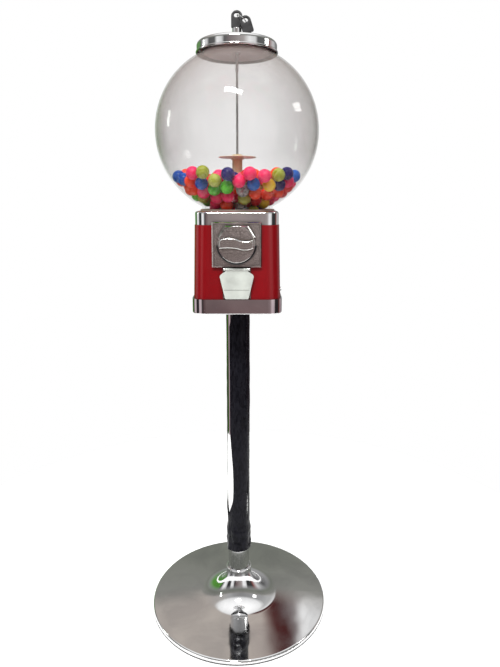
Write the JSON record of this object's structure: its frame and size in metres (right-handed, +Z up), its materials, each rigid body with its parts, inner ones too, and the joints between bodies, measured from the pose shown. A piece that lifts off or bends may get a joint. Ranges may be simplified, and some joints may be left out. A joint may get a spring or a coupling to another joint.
{
  "type": "gumball machine",
  "caption": "Free-standing ball vending machine: clear globe with lockable lid, red body, turning coin dial and chute flap, on a chrome pole and disc base.",
  "frame": {"origin": "centre of the floor disc, on the floor", "axes": "+Z up along the stand, -Y towards the front with the coin dial, +X to the viewer's right"},
  "size_m": [0.426, 0.426, 1.3707],
  "materials": {
    "chrome": "polished chrome plate",
    "cast_chrome": "chrome on die-cast zinc",
    "red_paint": "gloss",
    "edge_rubber": "matt",
    "steel": "zinc plated",
    "wrap": "thin black film, semi-gloss",
    "clear_plastic": "clear polycarbonate",
    "beige_rubber": "matt",
    "grey_rubber": "matt",
    "grey_plastic": "satin",
    "tan_wood": "satin",
    "tan_plastic": "translucent",
    "white_plastic": "satin",
    "door_white": "gloss",
    "brass": "turned",
    "black_plastic": "satin",
    "ball_pink": "glossy",
    "ball_orange": "glossy",
    "ball_red": "glossy",
    "ball_green": "glossy",
    "ball_olive": "glossy",
    "ball_blue": "glossy",
    "ball_navy": "glossy",
    "ball_yellow": "glossy",
    "ball_clear": "glossy"
  },
  "bodies": {
    "machine": {"base_disc": "chrome", "floor_ring": "edge_rubber", "base_plate": "steel", "hub_collar": "chrome", "stand_tube": "chrome", "tie_rod": "steel", "tie_rod_nuts": "steel", "top_flange": "steel", "flange_fasteners": "steel", "pole_wrap": "wrap", "tray": "chrome", "shell": "red_paint", "collar": "chrome", "lower_gasket": "beige_rubber", "side_screw": "steel", "globe": "clear_plastic", "top_gasket": "grey_rubber", "centre_rod": "steel", "rod_nuts": "steel", "rod_tube": "tan_wood", "baffle_disc": "tan_plastic", "faceplate": "cast_chrome", "coin_hood": "cast_chrome", "mech_frame": "steel", "mech_posts": "steel", "mech_screws": "steel", "wheel_bush": "brass", "wheel_housing": "grey_plastic", "drop_cover": "steel", "chute": "grey_plastic", "chute_bezel": "cast_chrome", "hinge_pin": "steel", "balls_pink": "ball_pink", "balls_orange": "ball_orange", "balls_red": "ball_red", "balls_green": "ball_green", "balls_olive": "ball_olive", "balls_blue": "ball_blue", "balls_navy": "ball_navy", "balls_yellow": "ball_yellow", "balls_clear": "ball_clear"},
    "knob": {"dial": "cast_chrome", "knob_shaft": "steel", "coin_wheel": "steel", "drive_pinion": "white_plastic"},
    "wheel": {"product_wheel": "white_plastic", "balls_in_wheel": "ball_pink"},
    "door": {"chute_door": "door_white"},
    "lid_cap": {"lid": "chrome", "lid_liner": "grey_plastic", "lock_barrel": "chrome", "lock_nut": "chrome"},
    "lock_key": {"lock_plug": "brass", "key": "black_plastic"},
    "spare": {"key_ring": "steel", "spare_key": "black_plastic"}
  },
  "joints": [
    {"name": "knob_turn", "type": "hinge", "parent": "machine", "child": "knob", "pos_m": [0, -0.1, 0.894], "axis": [0, 1, 0], "continuous": true},
    {"name": "wheel_turn", "type": "hinge", "parent": "machine", "child": "wheel", "pos_m": [0, 0, 0.927], "axis": [0, 0, 1], "continuous": true},
    {"name": "door_swing", "type": "hinge", "parent": "machine", "child": "door", "pos_m": [0, -0.099, 0.8415], "axis": [-1, 0, 0], "range_deg": [0, 70]},
    {"name": "lid_lift", "type": "slide", "parent": "machine", "child": "lid_cap", "axis": [0, 0, 1], "range_m": [0, 0.15]},
    {"name": "key_turn", "type": "hinge", "parent": "lid_cap", "child": "lock_key", "pos_m": [0, 0, 1.33], "axis": [0, 0, 1], "range_deg": [0, 90]},
    {"name": "spare_swing", "type": "hinge", "parent": "lock_key", "child": "spare", "pos_m": [0.001, 0, 1.3615], "axis": [0, -1, 0], "range_deg": [0, 50]}
  ],
  "couplings": [
    {"joint": "knob_turn", "follows": "wheel_turn", "ratio": 4}
  ]
}
